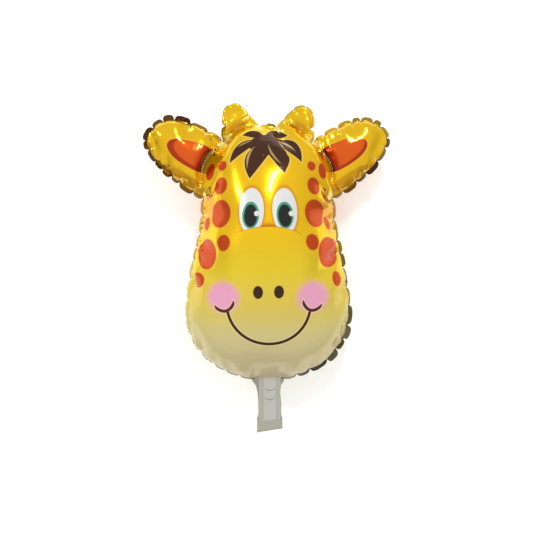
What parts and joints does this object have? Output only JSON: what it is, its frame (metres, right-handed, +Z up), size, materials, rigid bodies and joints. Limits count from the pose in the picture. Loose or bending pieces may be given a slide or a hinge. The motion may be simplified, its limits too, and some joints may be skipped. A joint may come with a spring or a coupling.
{
  "type": "giraffe head foil balloon",
  "caption": "Filled foil party balloon shaped as a giraffe's head, with ears, horns, a crinkled welded border and a flat filling tail; it lies face up.",
  "frame": {"origin": "under the middle of the balloon's outline, on the surface that it lies on", "axes": "+X across the face, to the right as it is seen from above, +Y from the tail up to the horns, +Z up, out of the face"},
  "size_m": [0.3164, 0.4284, 0.1212],
  "materials": {
    "printed_foil": "glossy printed metallised film, yellow fading to cream, with orange spots"
  },
  "bodies": {
    "root": {"balloon": "printed_foil"}
  },
  "joints": []
}
